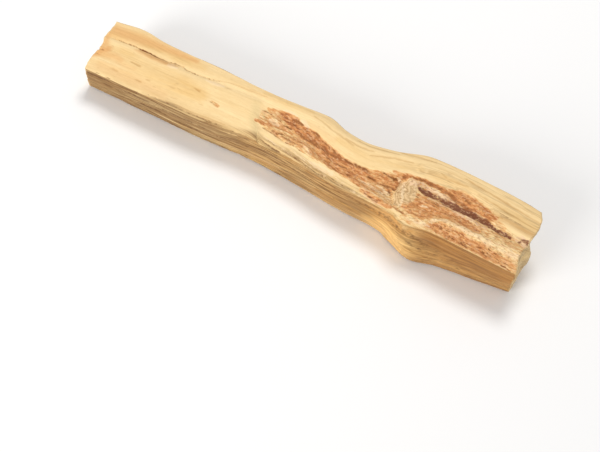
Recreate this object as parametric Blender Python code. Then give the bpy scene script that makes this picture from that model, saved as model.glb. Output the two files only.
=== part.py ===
"""One palo santo stick: a riven length of heartwood about 102 mm long, lying on its flat underside.

The stick runs along X, its split front face looks along -Y and +Z is up. The origin is under the middle of the
stick's box, on the surface that it rests on. Sizes below are in millimetres; the mesh is built in metres.
"""

import bmesh
import bpy
import numpy as np
from mathutils import Vector, noise

MM = 0.001

# Long edges of the section, as (x, y, z): where two split faces meet
FRONT_FOOT = (
    (-50, -2.9, 0.4), (-38, -3.0, 0.2), (-22, -3.3, 0.2), (-8, -3.2, 0.3), (3, -4.3, 0.3), (12, -5.4, 0.3),
    (21, -6.1, 0.5), (25, -7.8, 0.5), (30, -9.4, 0.4), (35, -8.2, 0.5), (42, -7.5, 0.3), (51, -6.7, 0.6),
)
FRONT_EDGE = (
    (-50, -4.5, 7.3), (-36, -4.8, 7.7), (-22, -4.9, 8.1), (-10, -4.0, 8.4), (0, -4.6, 8.8), (11, -6.3, 9.2),
    (19, -6.9, 9.6), (23, -7.4, 9.6), (26, -9.1, 9.8), (31, -8.3, 10.2), (40, -8.9, 10.6), (51, -9.3, 10.5),
)
BACK_EDGE = (
    (-50, 9.8, 9.0), (-44, 10.4, 9.4), (-38, 9.4, 9.6), (-24, 8.7, 10.0), (-10, 7.9, 10.4), (2, 8.2, 10.7),
    (7, 6.5, 10.6), (12, 5.8, 10.8), (18, 6.5, 11.3), (26, 8.5, 12.0), (34, 8.2, 12.3), (45, 7.4, 12.2),
    (51, 6.7, 11.9),
)
BACK_FOOT = (
    (-50, 9.0, 0.5), (-34, 9.4, 0.3), (-14, 8.2, 0.3), (4, 8.4, 0.4), (14, 7.4, 0.6), (28, 9.1, 0.4), (51, 7.8, 0.5),
)

# Lines across the stick that the slices follow, as (y, x): the two sawn ends and the torn ledge between them
LEFT_CUT = ((-5.2, -49.9), (-2.2, -50.3), (2.8, -50.0), (4.8, -50.7), (7.3, -50.5), (10.8, -50.7))
LEDGE = (
    (-5.2, -8.3), (-2.7, -9.3), (-0.7, -10.6), (1.3, -11.5), (3.4, -11.7), (4.8, -12.1), (6.4, -12.8), (9.8, -13.1),
)
RIGHT_CUT = ((-9.2, 50.3), (-6.7, 49.9), (-2.2, 49.0), (1.8, 49.8), (7.2, 50.2), (8.8, 50.4))
RIGHT_CUT_BELOW = ((-9.2, 50.4), (-5.2, 51.2), (-1.9, 51.5), (0.8, 50.8), (3.8, 50.6), (7.8, 51.0))
CUT_TURN = 2.6         # how far under the top the right end's lower part is reached

# The slices: where they start and end, how far the cuts and the ledge lean them, and their spacing up to the next x
LEFT_X = -50.0
LEDGE_X = -11.3
RIGHT_X = 50.2
CUT_REACH = 9.0
LEDGE_REACH = 15.0
LEDGE_STEP = 0.55
SLICE_STEPS = ((LEFT_X, 2.1), (-15.0, 1.0), (-6.0, 1.3), (16.5, 0.8), (28.5, 1.35))

# Where a slice's front, back and foot lie, near enough to read the edges of the section there
FRONT_Y = -5.7
BACK_Y = 8.8
FOOT_DEPTH = 9.0

# The fissure along the left half, as (x, y), with its half width and depth
FISSURE = ((-50, 5.1), (-36, 5.3), (-24, 5.1), (-13, 5.5))
FISSURE_HALF_WIDTH = 0.8
FISSURE_DEPTH = 0.25

# The rough resin streak: its upper edge and its foot as (x, y), and its depth as (x, depth)
STREAK_TOP = (
    (-13, 4.4), (-9, 4.3), (-6, 5.1), (-2, 3.9), (2, 3.4), (6.5, 1.4), (11, 0.1), (16, 0.2), (22, 1.9),
    (26.5, 3.6), (34, 4.5), (39.5, 3.7), (43, 1.6), (47, -0.4), (51, -1.0),
)
STREAK_FOOT = (
    (-13, 1.4), (-7, 0.2), (1, -1.4), (5, -2.8), (9, -3.8), (15.6, -4.4), (20, -5.2), (26, -6.1), (31, -5.8),
    (34, -4.6), (40, -4.8), (51, -4.2),
)
STREAK_DEPTH = (
    (-13, 0.5), (-6, 0.75), (2, 0.85), (10, 0.9), (16, 1.2), (19.6, 1.65), (21.2, 1.7), (22.4, 0.55), (24.6, 0.2),
    (27.5, 0.6), (33, 0.8), (40, 0.65), (46, 0.35), (51, 0.3),
)
STREAK_WALL = 1.3      # width of the streak's steep upper side
STREAK_RISE = 1.9      # and of its gentle foot

# The knot's left wall bows towards the pit before it
KNOT_WALL_X = 21.5
KNOT_WALL_Y = -2.2
KNOT_WALL_BOW = 0.1
KNOT_REACH = 8.0

# Grooves and ridges that run along the top, as (x, y, half width, depth); a ridge has a negative depth
RESIN_GROOVE = (
    (24.5, 1.3, 1.0, 0.0), (27, 0.9, 1.5, 0.85), (33, 0.3, 1.5, 1.0), (38, -0.3, 1.4, 0.9), (43, -1.3, 1.3, 0.6),
    (51, -2.3, 1.2, 0.4),
)
PALE_RIDGE = ((29, -5.5, 1.3, 0.0), (33, -4.8, 1.4, -0.35), (41, -5.1, 1.5, -0.4), (51, -4.5, 1.7, -0.3))
SPOTTED_HOLLOW = ((29, -7.2, 1.3, 0.0), (35, -6.9, 1.6, 0.3), (46, -7.4, 1.6, 0.3), (51, -7.5, 1.5, 0.1))
PALE_BAND = ((-9, 6.4, 2.2, -0.2), (2, 6.0, 2.6, -0.4), (11, 3.2, 2.6, -0.4), (22, 4.8, 2.6, -0.3), (32, 6.4, 2.0, -0.1))
TOP_LINES = (RESIN_GROOVE, PALE_RIDGE, SPOTTED_HOLLOW, PALE_BAND)

# The pale rim along the front edge, between the ledge and the knot, falls towards that edge
RIM_DROP = 0.5
RIM_WIDTH = 1.6
RIM_END = 25.0

# Just past the ledge the whole top lies a little lower
PAST_LEDGE_DROP = 0.25
PAST_LEDGE_BACK = 6.2

# The front face, as (x, swell, hollow): how far its lower part stands out, and the scoop under its top edge
FRONT_FORM = (
    (-50, 0.1, 0.1), (-20, 0.3, 0.15), (2, 0.2, 0.2), (11, 0.2, 0.5), (18, 0.4, 1.0), (24, 0.8, 1.1), (29, 1.5, 1.1),
    (34, 0.9, 0.9), (42, 0.3, 0.5), (51, 0.2, 0.2),
)
BACK_SWELL = 0.35

# Rows of the mesh on each side of the section, and the rings that close an end, as shares of its rim
FRONT_ROWS = 10
TOP_ROWS = 32
BACK_ROWS = 8
UNDER_ROWS = 6
CAP_RINGS = (0.9, 0.74, 0.5, 0.25)

CROWN = 0.45           # how far the top rises between its two edges
EDGE_EASE = 1.2        # how far in from an edge a hollow reaches its full depth
UNDER_RISE = 0.9       # how far in from its long edges the underside lies flat
TOP_WAVE = 0.13        # height of the long, low waves on the top
FACE_WAVE = 0.48       # and on the split faces at the front and the back
TORN_GRAIN = 0.5       # height of the torn, splintery grain in the resin streak
END_ROUGHNESS = 0.4    # how far the sawn ends depart from flat

WOOD_COLOUR = (0.80, 0.56, 0.29, 1.0)
WOOD_ROUGHNESS = 0.62


def clear_scene():
    for obj in list(bpy.data.objects):
        bpy.data.objects.remove(obj)


def smooth_through(rows, x):
    """The values of rows at x, on a smooth curve through them that doesn't overshoot. Each row starts with its x."""
    table = np.array(rows, float)
    knots, values = table[:, 0], table[:, 1:]
    x = min(max(x, knots[0]), knots[-1])
    spans = np.diff(knots)
    slopes = np.diff(values, axis=0) / spans[:, None]
    tangents = np.zeros_like(values)
    before, after = slopes[:-1], slopes[1:]
    same_way = before * after > 0
    total = np.where(same_way, before + after, 1.0)
    tangents[1:-1] = np.where(same_way, 2 * before * after / total, 0.0)
    tangents[0], tangents[-1] = slopes[0], slopes[-1]
    i = min(int(np.searchsorted(knots, x, side="right")) - 1, len(spans) - 1)
    t = (x - knots[i]) / spans[i]
    return (
        (2 * t**3 - 3 * t**2 + 1) * values[i]
        + (t**3 - 2 * t**2 + t) * spans[i] * tangents[i]
        + (3 * t**2 - 2 * t**3) * values[i + 1]
        + (t**3 - t**2) * spans[i] * tangents[i + 1]
    )


def bump(distance):
    """1 at 0, falling smoothly to 0 at 1 and beyond."""
    return (1 - min(abs(distance), 1.0) ** 2) ** 2


def smooth_step(t):
    t = min(max(t, 0.0), 1.0)
    return t * t * (3 - 2 * t)


def grain_wave(x, y, z):
    """Long, low waves: slow along the stick and quick across it, as split wood has."""
    return noise.noise(Vector((x * 0.045, y * 0.42, z * 0.42 + 7.3)))


def torn_grain(x, y):
    """Short splintery lumps, drawn out along the stick."""
    coarse = noise.noise(Vector((x * 0.22, y * 0.8, 2.6)))
    fine = noise.noise(Vector((x * 0.5, y * 1.7, 9.1)))
    return TORN_GRAIN * (coarse + 0.5 * fine)


def place_along(at, y, below_top):
    """X of the slice named at, for a point at this y and this far under the top."""
    turn = smooth_step(below_top / CUT_TURN)
    right_cut = (1 - turn) * smooth_through(RIGHT_CUT, y)[0] + turn * smooth_through(RIGHT_CUT_BELOW, y)[0]
    x = at
    x += (smooth_through(LEFT_CUT, y)[0] - LEFT_X) * smooth_step(1 - (at - LEFT_X) / CUT_REACH)
    x += (smooth_through(LEDGE, y)[0] - LEDGE_X) * smooth_step(1 - abs(at - LEDGE_X) / LEDGE_REACH)
    x += (right_cut - RIGHT_X) * smooth_step(1 - (RIGHT_X - at) / CUT_REACH)
    return x


def streak_depth(x, y):
    """How deep the resin streak lies at (x, y): a steep upper side, a rough floor and a gentle foot."""
    bow = KNOT_WALL_BOW * (y - KNOT_WALL_Y) ** 2 * bump((x - KNOT_WALL_X) / KNOT_REACH)
    depth = smooth_through(STREAK_DEPTH, x - bow)[0]
    upper = smooth_through(STREAK_TOP, x)[0]
    foot = smooth_through(STREAK_FOOT, x)[0]
    inside = smooth_step((upper - y) / STREAK_WALL) * smooth_step((y - foot + 0.4) / STREAK_RISE)
    return inside * (depth + torn_grain(x, y))


def rough_half(x, y, edge_ease):
    """How far the top to the right of the ledge lies under the smooth facet to the left of it."""
    depth = streak_depth(x, y) * edge_ease
    for line in TOP_LINES:
        centre, half_width, line_depth = smooth_through(line, x)
        depth += line_depth * bump((y - centre) / (1.3 * half_width)) * edge_ease
    foot = smooth_through(STREAK_FOOT, x)[0]
    depth += RIM_DROP * smooth_step((foot + 0.6 - y) / RIM_WIDTH) * smooth_step((RIM_END - x) / 6)
    depth += PAST_LEDGE_DROP * smooth_step((PAST_LEDGE_BACK - y) / 1.2) * smooth_step(-x / 6)
    return depth


def top_height(x, y, front, back, past_ledge):
    """Height of the top at (x, y), between the front edge and the back edge of its slice."""
    across = (y - front[0]) / (back[0] - front[0])
    height = front[1] + across * (back[1] - front[1]) + CROWN * (1 - (2 * across - 1) ** 2)
    edge_ease = smooth_step(min(y - front[0], back[0] - y) / EDGE_EASE)
    fissure = FISSURE_DEPTH * bump((y - smooth_through(FISSURE, x)[0]) / FISSURE_HALF_WIDTH)
    height -= fissure * (1 - past_ledge) + rough_half(x, y, edge_ease) * past_ledge
    return height + TOP_WAVE * grain_wave(x, y, 40.0)


def section(at):
    """The outline of the slice at this x, as points round the stick from its front foot over the top."""
    front_foot = smooth_through(FRONT_FOOT, place_along(at, FRONT_Y, FOOT_DEPTH))
    front = smooth_through(FRONT_EDGE, place_along(at, FRONT_Y, 0.0))
    back = smooth_through(BACK_EDGE, place_along(at, BACK_Y, 0.0))
    back_foot = smooth_through(BACK_FOOT, place_along(at, BACK_Y, FOOT_DEPTH))
    swell, hollow = smooth_through(FRONT_FORM, place_along(at, FRONT_Y, FOOT_DEPTH))
    past_ledge = smooth_step((at - LEDGE_X + LEDGE_STEP / 2) / LEDGE_STEP)
    outline = []

    for row in range(FRONT_ROWS):
        t = row / FRONT_ROWS
        y, z = front_foot + (front - front_foot) * t
        y += hollow * bump((t - 0.78) / 0.26) - swell * bump((t - 0.32) / 0.42)
        x = place_along(at, y, front[1] - z)
        away_from_edges = smooth_step(t / 0.3) * smooth_step((1 - t) / 0.15)
        outline.append((x, y + FACE_WAVE * grain_wave(x, y, z) * away_from_edges, z))

    for row in range(TOP_ROWS):
        y = front[0] + (back[0] - front[0]) * row / TOP_ROWS
        x = place_along(at, y, 0.0)
        outline.append((x, y, top_height(x, y, front, back, past_ledge)))

    for row in range(BACK_ROWS):
        t = row / BACK_ROWS
        y, z = back + (back_foot - back) * t
        y += BACK_SWELL * bump((t - 0.45) / 0.5)
        x = place_along(at, y, back[1] - z)
        outline.append((x, y + FACE_WAVE * grain_wave(x, y + 20, z) * smooth_step((t + 0.1) / 0.3), z))

    for row in range(UNDER_ROWS):
        t = row / UNDER_ROWS
        y = back_foot[0] + (front_foot[0] - back_foot[0]) * t
        from_edge = min(back_foot[0] - y, y - front_foot[0])
        edge_height = back_foot[1] if t < 0.5 else front_foot[1]
        x = place_along(at, y, FOOT_DEPTH)
        outline.append((x, y, edge_height * (1 - smooth_step(from_edge / UNDER_RISE))))
    return np.array(outline)


def slice_places():
    """Where the slices are, along X: closer together at the ledge and at the knot. Two of them make the ledge."""
    starts = [start for start, _ in SLICE_STEPS] + [RIGHT_X]
    places = []
    for (start, step), end in zip(SLICE_STEPS, starts[1:]):
        count = max(1, round((end - start) / step))
        places += [start + (end - start) * i / count for i in range(count)]
    places = [x for x in places if abs(x - LEDGE_X) > 0.4 + LEDGE_STEP / 2]
    return sorted(places + [LEDGE_X - LEDGE_STEP / 2, LEDGE_X + LEDGE_STEP / 2, RIGHT_X])


def end_grain(at, ring):
    """The rings of points that close a sawn end, from its rim inwards, and its middle point."""
    middle = ring.mean(axis=0)
    front, back = ring[FRONT_ROWS], ring[FRONT_ROWS + TOP_ROWS]
    rings = [middle + (ring - middle) * share for share in CAP_RINGS]
    for point in [point for inner in rings for point in inner] + [middle]:
        y, z = point[1], point[2]
        top = front[2] + (back[2] - front[2]) * (y - front[1]) / (back[1] - front[1])
        point[0] = place_along(at, y, top - z) + END_ROUGHNESS * noise.noise(Vector((at, y * 0.5, z * 0.5)))
    return rings, middle


def join_rings(mesh, first, second):
    for i, vertex in enumerate(first):
        after = (i + 1) % len(first)
        mesh.faces.new((vertex, second[i], second[after], first[after]))


def close_end(mesh, rim, at, ring):
    rings, middle = end_grain(at, ring)
    outer = rim
    for inner in rings:
        vertices = [mesh.verts.new(Vector(point) * MM) for point in inner]
        join_rings(mesh, outer, vertices)
        outer = vertices
    centre = mesh.verts.new(Vector(middle) * MM)
    for i, vertex in enumerate(outer):
        mesh.faces.new((vertex, centre, outer[(i + 1) % len(outer)]))


def centre_on_origin(mesh):
    """Moves the stick, by a few tenths at most, so that its box is centred on the origin and stands on it."""
    places = np.array([vertex.co for vertex in mesh.verts])
    low, high = places.min(axis=0), places.max(axis=0)
    middle = (low + high) / 2
    bmesh.ops.translate(mesh, verts=mesh.verts, vec=Vector((-middle[0], -middle[1], -low[2])))


def wood_material():
    material = bpy.data.materials.new("heartwood")
    material.use_nodes = True
    shader = material.node_tree.nodes["Principled BSDF"]
    shader.inputs["Base Color"].default_value = WOOD_COLOUR
    shader.inputs["Roughness"].default_value = WOOD_ROUGHNESS
    shader.inputs["Metallic"].default_value = 0.0
    material.diffuse_color = WOOD_COLOUR
    return material


def build_stick():
    slices = [section(x) for x in slice_places()]
    mesh = bmesh.new()
    loops = [[mesh.verts.new(Vector(point) * MM) for point in outline] for outline in slices]
    for first, second in zip(loops, loops[1:]):
        join_rings(mesh, first, second)
    close_end(mesh, loops[0], LEFT_X, slices[0])
    close_end(mesh, loops[-1], RIGHT_X, slices[-1])
    bmesh.ops.recalc_face_normals(mesh, faces=mesh.faces)
    centre_on_origin(mesh)

    data = bpy.data.meshes.new("stick")
    mesh.to_mesh(data)
    mesh.free()
    data.shade_smooth()
    data.set_sharp_from_angle(angle=np.radians(38))
    data.materials.append(wood_material())
    stick = bpy.data.objects.new("stick", data)
    bpy.context.scene.collection.objects.link(stick)
    return stick


clear_scene()
build_stick()
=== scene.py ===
import itertools
import math

import bmesh
import bpy
import numpy as np
from mathutils import Matrix, Vector


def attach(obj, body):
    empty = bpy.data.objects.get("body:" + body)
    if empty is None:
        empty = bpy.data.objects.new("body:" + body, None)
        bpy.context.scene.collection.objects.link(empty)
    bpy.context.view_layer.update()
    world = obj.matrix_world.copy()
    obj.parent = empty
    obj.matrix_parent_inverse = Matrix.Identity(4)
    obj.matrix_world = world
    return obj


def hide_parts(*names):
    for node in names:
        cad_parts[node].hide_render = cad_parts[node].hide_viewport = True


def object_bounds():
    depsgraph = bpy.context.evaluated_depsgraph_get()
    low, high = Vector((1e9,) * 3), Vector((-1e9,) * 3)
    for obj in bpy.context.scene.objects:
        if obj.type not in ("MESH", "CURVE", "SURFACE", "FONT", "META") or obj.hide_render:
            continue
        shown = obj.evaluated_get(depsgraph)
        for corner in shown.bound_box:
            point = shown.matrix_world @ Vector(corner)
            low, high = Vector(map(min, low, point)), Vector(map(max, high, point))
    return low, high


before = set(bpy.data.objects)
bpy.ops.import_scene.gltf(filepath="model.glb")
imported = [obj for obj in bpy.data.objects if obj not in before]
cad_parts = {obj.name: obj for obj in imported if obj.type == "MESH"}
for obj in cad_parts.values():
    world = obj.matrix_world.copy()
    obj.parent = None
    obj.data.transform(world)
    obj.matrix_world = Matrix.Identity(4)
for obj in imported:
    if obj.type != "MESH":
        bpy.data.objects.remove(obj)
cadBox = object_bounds()
mm = 0.001


# The camera stands in front of the stick, swung a little towards its thick end, and looks down on it
view = {
    "elevation": 55.0,          # degrees above the floor
    "swing": 16.0,              # degrees round from the stick's front towards +X
    "roll": 11.66,              # degrees that the camera leans
    "lens": 65.0,
    "distance": 224.83,         # mm from the point that it looks at
    "lookAt": (6.17, -13.01, 0.0),
    "nearest": 5.0,             # mm, the closest that a thing can be and still be seen
}

light = {
    "overhead": {"place": (-40, 200, 480), "size": 220, "watts": 1.25},
    "front": {"place": (-210, -520, 210), "size": 300, "watts": 2.35},
    "sky": 0.46,
    "skyColour": (1, 1, 1, 1),
}

floorLook = {
    "size": 3000,               # mm
    "colour": (0.94, 0.93, 0.92, 1),
    "roughness": 0.7,
}


def deselectAll():
    if bpy.context.object and bpy.context.object.mode != "OBJECT":
        bpy.ops.object.mode_set(mode="OBJECT")
    bpy.ops.object.select_all(action="DESELECT")


def makeCamera():
    up, swing, roll = (math.radians(view[k]) for k in ("elevation", "swing", "roll"))
    back = Vector((math.sin(swing) * math.cos(up), -math.cos(swing) * math.cos(up), math.sin(up)))
    side = Vector((math.cos(swing), math.sin(swing), 0))
    over = back.cross(side)
    turned = side * math.cos(roll) + over * math.sin(roll)
    upright = over * math.cos(roll) - side * math.sin(roll)
    cameraData = bpy.data.cameras.new("camera")
    cameraData.lens = view["lens"]
    cameraData.clip_start = view["nearest"] * mm
    camera = bpy.data.objects.new("camera", cameraData)
    place = Matrix((turned, upright, back)).transposed().to_4x4()
    place.translation = (Vector(view["lookAt"]) + back * view["distance"]) * mm
    camera.matrix_world = place
    bpy.context.scene.collection.objects.link(camera)
    bpy.context.scene.camera = camera
    print("camera set")


def makeLight(name, spec):
    lamp = bpy.data.lights.new(name, "AREA")
    lamp.shape = "DISK"
    lamp.size = spec["size"] * mm
    lamp.energy = spec["watts"]
    lampObject = bpy.data.objects.new(name, lamp)
    lampObject.location = Vector(spec["place"]) * mm
    lampObject.rotation_euler = (-lampObject.location).to_track_quat("-Z", "Y").to_euler()
    bpy.context.scene.collection.objects.link(lampObject)


def makeStudio():
    makeLight("overhead light", light["overhead"])
    makeLight("front light", light["front"])
    world = bpy.data.worlds.new("studio")
    world.use_nodes = True
    sky = world.node_tree.nodes["Background"]
    sky.inputs["Color"].default_value = light["skyColour"]
    sky.inputs["Strength"].default_value = light["sky"]
    bpy.context.scene.world = world
    bpy.context.scene.view_settings.view_transform = "Standard"

    deselectAll()
    bpy.ops.mesh.primitive_plane_add(size=floorLook["size"] * mm)
    floor = bpy.context.object
    floor.name = "floor"
    paper = bpy.data.materials.new("paper floor")
    paper.use_nodes = True
    shader = paper.node_tree.nodes["Principled BSDF"]
    shader.inputs["Base Color"].default_value = floorLook["colour"]
    shader.inputs["Roughness"].default_value = floorLook["roughness"]
    floor.data.materials.append(paper)
    print("studio set")


# The stick's body: a merged copy of the solid, as quads, subdivided until it can hold the grain
stickShape = {
    "mergeWithin": 0.001,       # mm
    "quadBend": 60,             # degrees that two triangles may fold and still become one quad
    "quadSkew": 120,            # degrees that its corners may differ
    "creaseAngle": 40,          # degrees; edges sharper than this stay crisp
    "crease": 0.55,
    "levels": 2,
    "frontFacing": -0.7,        # y of a normal, below which a vertex is on the front face
    "uprightSlope": 0.5,        # an edge this much along the stick, or less, counts as upright
}


def refineStick():
    deselectAll()
    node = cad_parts["stick"]
    stick = node.copy()
    stick.data = node.data.copy()
    stick.name = "palo_santo_stick"
    bpy.context.scene.collection.objects.link(stick)
    bpy.context.view_layer.objects.active = stick
    stick.select_set(True)
    bpy.ops.object.mode_set(mode="EDIT")
    bpy.ops.mesh.select_all(action="SELECT")
    bpy.ops.mesh.remove_doubles(threshold=stickShape["mergeWithin"] * mm)
    bpy.ops.mesh.customdata_custom_splitnormals_clear()
    bend, skew = math.radians(stickShape["quadBend"]), math.radians(stickShape["quadSkew"])
    bpy.ops.mesh.tris_convert_to_quads(face_threshold=bend, shape_threshold=skew)
    bpy.ops.mesh.select_mode(type="EDGE")
    bpy.ops.mesh.select_all(action="DESELECT")
    bpy.ops.mesh.edges_select_sharp(sharpness=math.radians(stickShape["creaseAngle"]))
    bpy.ops.transform.edge_crease(value=stickShape["crease"])
    bpy.ops.object.mode_set(mode="OBJECT")
    smoothing = stick.modifiers.new("fine mesh", "SUBSURF")
    smoothing.levels = stickShape["levels"]
    smoothing.render_levels = stickShape["levels"]
    bpy.ops.object.modifier_apply(modifier=smoothing.name)
    cutFrontRows(stick)
    bpy.ops.object.shade_smooth()
    print("stick refined to", len(stick.data.polygons), "faces")
    return stick


def cutFrontRows(stick):
    # the front face has fewer rows than the top, so its upright edges are cut in two once more
    mesh = stick.data
    upright = []
    for edge in mesh.edges:
        first, second = (mesh.vertices[i] for i in edge.vertices)
        run = second.co - first.co
        facing = max(first.normal.y, second.normal.y) < stickShape["frontFacing"]
        upright.append(facing and abs(run.x) < stickShape["uprightSlope"] * math.hypot(run.y, run.z))
    bpy.ops.object.mode_set(mode="EDIT")
    bpy.ops.mesh.select_all(action="DESELECT")
    bpy.ops.object.mode_set(mode="OBJECT")
    mesh.edges.foreach_set("select", upright)
    bpy.ops.object.mode_set(mode="EDIT")
    bpy.ops.mesh.subdivide(number_cuts=1)
    bpy.ops.object.mode_set(mode="OBJECT")


# Tools for working on all the vertices at once; every length in them is in mm

def smoothStep(low, high, value):
    t = np.clip((value - low) / (high - low), 0, 1)
    return t * t * (3 - 2 * t)


def atLeast(low, mask):
    # the mask lifted, so that it runs from low to 1
    return low + (1 - low) * mask


def lineAt(line, x):
    # the height of a line of (x, height) points at each x
    table = np.array(line, float)
    return np.interp(x, table[:, 0], table[:, 1])


def smoothLine(line, x, width=2.0):
    # the line, rounded at its corners
    return sum(lineAt(line, x + shift * width) for shift in (-1, -0.5, 0, 0.5, 1)) / 5


def between(lower, upper, x, y, soft):
    # 1 between two lines along the stick, falling to 0 past them and past their ends
    inside = smoothStep(-soft, soft, y - lineAt(lower, x)) * smoothStep(-soft, soft, lineAt(upper, x) - y)
    start = max(lower[0][0], upper[0][0])
    end = min(lower[-1][0], upper[-1][0])
    return inside * smoothStep(start - soft, start + soft, x) * smoothStep(end + soft, end - soft, x)


def nearPath(path, x, y):
    # 1 on a path of (x, y, half width) points, 0 at its half width and less beyond it
    nearest = np.full(len(x), -9.0)
    for (x0, y0, wide0), (x1, y1, wide1) in zip(path, path[1:]):
        dx, dy = x1 - x0, y1 - y0
        t = np.clip(((x - x0) * dx + (y - y0) * dy) / (dx * dx + dy * dy), 0, 1)
        away = np.hypot(x - x0 - t * dx, y - y0 - t * dy) / (wide0 + (wide1 - wide0) * t)
        nearest = np.maximum(nearest, 1 - away)
    return nearest


# The noises that shape the wood: how strong each is, in mm where it is a height, how fast it changes
# along, across and through the grain, its seed and its octaves
noises = {
    "wanderX": (0.35, (0.5, 0.9, 0.9), 11, 2),
    "wanderY": (0.15, (0.7, 1.2, 1.2), 12, 2),
    "wanderZ": (0.18, (0.16, 0.7, 0.7), 13, 2),
    "knotEdge": (0.12, (0.6, 0.7, 0.7), 14, 2),
    "markWear": (0.5, (0.6, 1.5, 1.5), 15, 2),
    "facet": (0.03, (0.07, 1.3, 0.6), 21, 3),
    "facetSwell": (0.06, (0.03, 0.35, 0.3), 22, 2),
    "groove": (1, (0.028, 0.2, 0.6), 31, 2),
    "sideFine": (0.07, (0.07, 0.6, 2.4), 32, 2),
    "line": (1, (0.05, 0.5, 1.2), 33, 2),
    "splinter": (1, (0.34, 1.2, 1.2), 41, 2),
    "splinterFine": (1, (0.8, 2.2, 2.2), 43, 2),
    "pock": (1, (1.1, 2.2, 2.2), 44, 2),
    "rim": (0.1, (0.09, 1.9, 1), 45, 2),
    "ringWobble": (0.8, (0.5, 0.55, 0.55), 51, 2),
    "nick": (1, (0.3, 0.3, 0.3), 61, 2),
    "sawn": (0.08, (1.1, 1.1, 1.1), 71, 3),
}

# Large odd numbers that turn a lattice corner's place into a slope, the same one each run
scramble = {
    "corner": (73856093, 19349663, 83492791),
    "seed": 40503,
    "first": 2246822519,
    "second": 3266489917,
    "gain": 1.4,                # brings the noise to about -1 to 1
}


def latticeNoise(points, seed):
    # smooth noise: a seeded slope at each corner of a unit lattice
    cell = np.floor(points).astype(np.int64)
    local = points - cell
    ease = local ** 3 * (local * (local * 6 - 15) + 10)
    total = np.zeros(len(points))
    for corner in itertools.product((0, 1), repeat=3):
        offset = np.array(corner)
        key = (cell + offset) @ np.array(scramble["corner"]) + seed * scramble["seed"]
        key = ((key ^ (key >> 15)) * scramble["first"]) & 0xFFFFFFFF
        key = ((key ^ (key >> 13)) * scramble["second"]) & 0xFFFFFFFF
        key ^= key >> 16
        slopes = np.stack([key & 1023, (key >> 10) & 1023, (key >> 20) & 1023], 1) / 511.5 - 1
        weight = np.prod(np.where(offset == 1, ease, 1 - ease), axis=1)
        total += weight * np.sum(slopes * (local - offset), axis=1)
    return total * scramble["gain"]


def grainNoise(name, places):
    strength, stretch, seed, octaves = noises[name]
    total = np.zeros(len(places))
    for octave in range(octaves):
        finer = 2 ** octave
        total += latticeNoise(places * np.array(stretch) * finer, seed + octave) / finer
    return total * strength


def ridged(noise, sharpness):
    # 1 along the lines where the noise crosses 0, less away from them
    return np.clip(1 - np.abs(noise) * sharpness, 0, 1)


def terraced(value, steps, softness=0.25):
    # the value as flat treads with short risers between them, as torn fibres leave
    scaled = value * steps
    whole = np.floor(scaled)
    return (whole + smoothStep(0.5 - softness, 0.5 + softness, scaled - whole)) / steps


# Where the split faces meet along the stick
edgeLines = {
    "frontY": ((-50, -4.5), (-36, -4.8), (-22, -4.9), (-10, -4), (0, -4.6), (11, -6.3), (19, -6.9),
        (23, -7.4), (26, -9.1), (31, -8.3), (40, -8.9), (51, -9.3)),
    "frontZ": ((-50, 7.3), (-36, 7.7), (-22, 8.1), (-10, 8.4), (0, 8.8), (11, 9.2), (19, 9.6), (23, 9.6),
        (26, 9.8), (31, 10.2), (40, 10.6), (51, 10.5)),
    "backY": ((-50, 9.8), (-44, 10.4), (-38, 9.4), (-24, 8.7), (-10, 7.9), (2, 8.2), (7, 6.5), (12, 5.8),
        (18, 6.5), (26, 8.5), (34, 8.2), (45, 7.4), (51, 6.7)),
    "backZ": ((-50, 9), (-38, 9.6), (-10, 10.4), (12, 10.8), (26, 12), (34, 12.3), (51, 11.9)),
}

# Two lines on the top that the fibres follow, and the y that each line has where the grain runs straight
flowLines = {
    "upper": ((-50, 4.4), (-9, 4.3), (-2, 3.6), (2, 3.1), (6.5, 1.5), (11, 0.4), (16, 0.3), (22, 1.7),
        (28, 2.6), (34, 2.3), (42, 1.4), (51, 0.6)),
    "upperStraight": 4.4,
    "lower": ((-50, 1.4), (-13, 1.4), (-7, 0.2), (1, -1.4), (5, -2.8), (9, -3.8), (15.6, -4.6), (20, -5.4),
        (26, -6.4), (31, -6.1), (34, -5.4), (40, -5.5), (51, -5.9)),
    "lowerStraight": 1.4,
    "backStraight": 9.6,
    "frontStraight": -4.8,
    "topWidth": 14,
    "layersHigh": 9,
}

# Where one face of the stick passes into the next: parts of a normal for "Facing", otherwise mm
faceLimits = {
    "endFacing": (0.45, 0.75),
    "sideFacing": (0.4, 0.7),
    "underFacing": (0.4, 0.8),
    "endStart": 46,             # how far from the middle
    "underTop": 3,
    "topRise": (3, 5),
    "lowSide": (6.5, 4.5),      # below this a side is a side, however far it leans out
    "brow": (1.7, 1.0),         # from the edge, above that
}


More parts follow.
